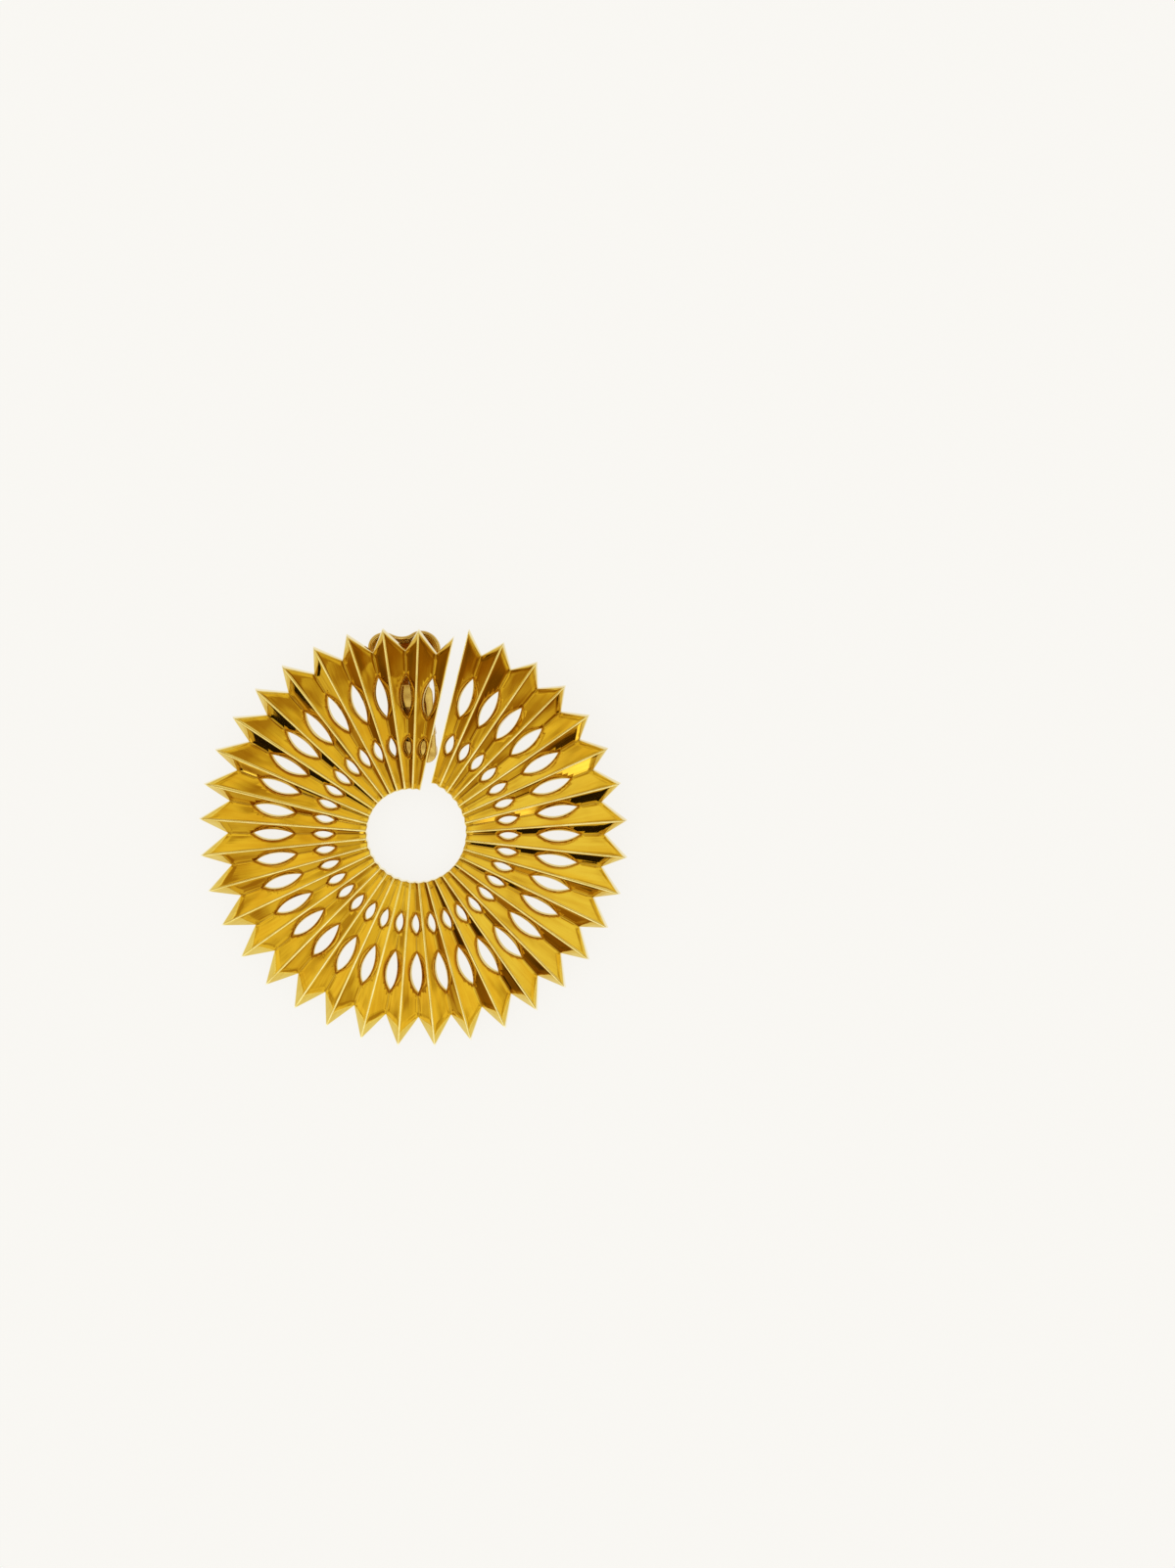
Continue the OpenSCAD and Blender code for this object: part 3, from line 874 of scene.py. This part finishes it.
def fillBetween(bm, *rings):  # a flat face, with a hole for each ring after the first
    edges = [bm.edges.get((ring[n - 1], ring[n])) for ring in rings for n in range(len(ring))]
    bmesh.ops.triangle_fill(bm, use_beauty=True, edges=edges)


def finishedMesh(bm, name):
    bmesh.ops.recalc_face_normals(bm, faces=bm.faces)
    mesh = bpy.data.meshes.new(name)
    bm.to_mesh(mesh)
    bm.free()
    return mesh


def stampedMesh(name, outline, low, high, edge, hole=None):  # a plate with rounded edges
    bm = bmesh.new()
    under, over = addWall(bm, outline, roundedWall(low, high, edge, edge))
    if hole:
        holeUnder, holeOver = addWall(bm, hole, roundedWall(low, high, -edge, -edge))
        fillBetween(bm, under, holeUnder)
        fillBetween(bm, over, holeOver)
    else:
        fillBetween(bm, under)
        fillBetween(bm, over)
    return finishedMesh(bm, name)


def turnedMesh(name, profile):  # turned about the x axis from pairs of place and radius
    bm = bmesh.new()
    turns = [2 * pi * n / clip["turnSteps"] for n in range(clip["turnSteps"])]
    rings = [[bm.verts.new((x, radius * cos(turn), radius * sin(turn))) for turn in turns]
             for x, radius in profile]
    for low, high in zip(rings, rings[1:]):
        for n in range(len(turns)):
            bm.faces.new((low[n - 1], low[n], high[n], high[n - 1]))
    bm.faces.new(rings[0])
    bm.faces.new(rings[-1])
    return finishedMesh(bm, name)


def combined(name, first, *others):  # each of the others is an operation and a mesh
    holder = bpy.data.objects.new(name, first)
    bpy.context.scene.collection.objects.link(holder)
    helpers = []
    for operation, mesh in others:
        helper = bpy.data.objects.new(mesh.name, mesh)
        bpy.context.scene.collection.objects.link(helper)
        modifier = holder.modifiers.new(operation, "BOOLEAN")
        modifier.operation, modifier.solver, modifier.object = operation, "EXACT", helper
        helpers.append(helper)
    bpy.context.view_layer.update()
    ready = holder.evaluated_get(bpy.context.evaluated_depsgraph_get())
    mesh = bpy.data.meshes.new_from_object(ready)
    for helper in (holder, *helpers):
        bpy.data.objects.remove(helper)
    bm = bmesh.new()
    bm.from_mesh(mesh)
    bmesh.ops.remove_doubles(bm, verts=bm.verts, dist=clip["weld"])
    bm.to_mesh(mesh)
    bm.free()
    mesh.name = name
    return mesh


def placed(mesh, where):
    mesh.transform(where)
    mesh.materials.clear()
    mesh.materials.append(clipGold)
    smoothUnder(mesh, clip["sharpFrom"])
    return mesh


def makeClipBase():
    halfPlate, halfWindow = clip["plateWidth"] / 2, clip["windowWidth"] / 2
    outline = roundedBox(-halfPlate, halfPlate, -clip["plateBelow"], clip["plateAbove"],
                         clip["plateCorner"], clip["plateSteps"])
    window = roundedBox(-halfWindow, halfWindow, clip["windowLow"], clip["windowHigh"],
                        clip["windowCorner"], clip["windowSteps"])
    back, front = clip["plateBack"], clip["plateBack"] + clip["plateThick"] + clip["sink"]
    plate = stampedMesh("plate", outline, back, front, clip["edge"], window)
    radius, foot = clip["earRadius"], back + clip["earFoot"]
    earOutline = arcPoints((0, 0), radius, pi, 2 * pi, clip["earSteps"]) + [(radius, foot), (-radius, foot)]
    bore = arcPoints((0, 0), clip["earBore"], 0, 2 * pi * (1 - 1 / clip["turnSteps"]), clip["turnSteps"] - 1)
    upright = Matrix(((0, 0, 1, 0), (1, 0, 0, 0), (0, 1, 0, 0), (0, 0, 0, 1)))  # its thickness along the pin
    ears = []
    for near in (-clip["earOutside"], clip["earOutside"] - clip["earThick"]):
        ear = stampedMesh("ear", earOutline, near, near + clip["earThick"], clip["edge"], bore)
        ear.transform(upright)
        ears.append(("UNION", ear))
    mesh = placed(combined("clipBase", plate, *ears), pinPlace)
    showPiece("clipBase", mesh, "fan", "pleated_fan")


def makePin():
    turns = [pi / 2 * n / pin["headSteps"] for n in range(pin["headSteps"] + 1)]
    brim, top = pin["brimShare"], pin["topShare"]
    dome = [(pin["headInside"] + pin["headThick"] * (brim + (1 - brim) * sin(turn)),
             pin["headRadius"] * (top + (1 - top) * cos(turn))) for turn in turns]
    half = [(pin["headInside"], pin["radius"]), (pin["headInside"], pin["headRadius"]), *dome]
    profile = [(-x, radius) for x, radius in reversed(half)] + half
    mesh = placed(turnedMesh("hingePin", profile), pinPlace)
    showPiece("hingePin", mesh, "fan", "hinge_pin")


def paddleOutline(inset):  # its right half, from the foot of the stem to the dip between the lobes
    lobeX, lobeY, lobeRadius = paddle["lobeX"], paddle["lobeY"], paddle["lobeRadius"]
    rise = lobeRadius - paddle["dip"]
    dipRadius = (lobeX ** 2 + rise ** 2 - lobeRadius ** 2) / (2 * paddle["dip"])
    dipY = lobeY + rise + dipRadius
    spreadX, spreadY = paddle["stemHalf"] - lobeX, lobeY - paddle["stemLength"]
    spreadRadius = (spreadX ** 2 + spreadY ** 2 - lobeRadius ** 2) / (2 * (lobeRadius - spreadX))
    spreadMiddle = paddle["stemHalf"] + spreadRadius
    spreadTurn = atan2(spreadY, lobeX - spreadMiddle)
    dipTurn = atan2(dipY - lobeY, -lobeX)
    trim = paddle["lobeTrim"]
    return (arcPoints((spreadMiddle, paddle["stemLength"]), spreadRadius + inset, pi, spreadTurn,
                      paddle["spreadSteps"])
            + arcPoints((lobeX, lobeY), lobeRadius - inset, spreadTurn - pi + trim, dipTurn - trim,
                        paddle["lobeSteps"])
            + arcPoints((0, dipY), dipRadius + inset, dipTurn - pi, -pi / 2, paddle["dipSteps"]))


def stemFoot():  # where the slope from the barrel's width to the stem's ends
    return paddle["shoulder"] + paddle["stemHalf"] - paddle["barrelHalf"]


def bothSides(side):  # the whole outline, bent sideways above the foot of the stem
    foot = stemFoot()
    whole = side + [(-x, y) for x, y in reversed(side[:-1])]
    return [(x - paddle["bend"] * max(0, y - foot) / (paddle["lobeY"] - foot), y) for x, y in whole]


def makePaddle():
    half, rim, foot = paddle["thick"] / 2, paddle["rim"], stemFoot()
    outline = bothSides([(paddle["barrelHalf"], 0), (paddle["barrelHalf"], paddle["shoulder"]),
                         (paddle["stemHalf"], foot)] + paddleOutline(0))
    recess = bothSides([(paddle["stemHalf"] - rim, foot)] + paddleOutline(rim))
    bm = bmesh.new()
    under, over = addWall(bm, outline, roundedWall(-half, half, paddle["backRound"], paddle["rimRound"]))
    floor, brink = addWall(bm, recess, roundedWall(
        paddle["web"] - half, half, paddle["webFillet"], -paddle["rimRound"]))
    fillBetween(bm, under)
    fillBetween(bm, over, brink)
    fillBetween(bm, floor)
    plate = finishedMesh(bm, "paddlePlate")
    ends = [(paddle["barrelHalf"] - clip["edge"], paddle["barrelRadius"]),
            (paddle["barrelHalf"], paddle["barrelRadius"] - clip["edge"])]
    barrel = turnedMesh("barrel", [(-x, radius) for x, radius in reversed(ends)] + ends)
    bore = turnedMesh("bore", [(x, paddle["barrelBore"]) for x in (-paddle["stemHalf"], paddle["stemHalf"])])
    mesh = placed(combined("clipPaddle", plate, ("UNION", barrel), ("DIFFERENCE", bore)), paddlePlace)
    showPiece("clipPaddle", mesh, "paddle", "clip_paddle")


makeClipBase()
makePin()
makePaddle()
print("ear clip made")
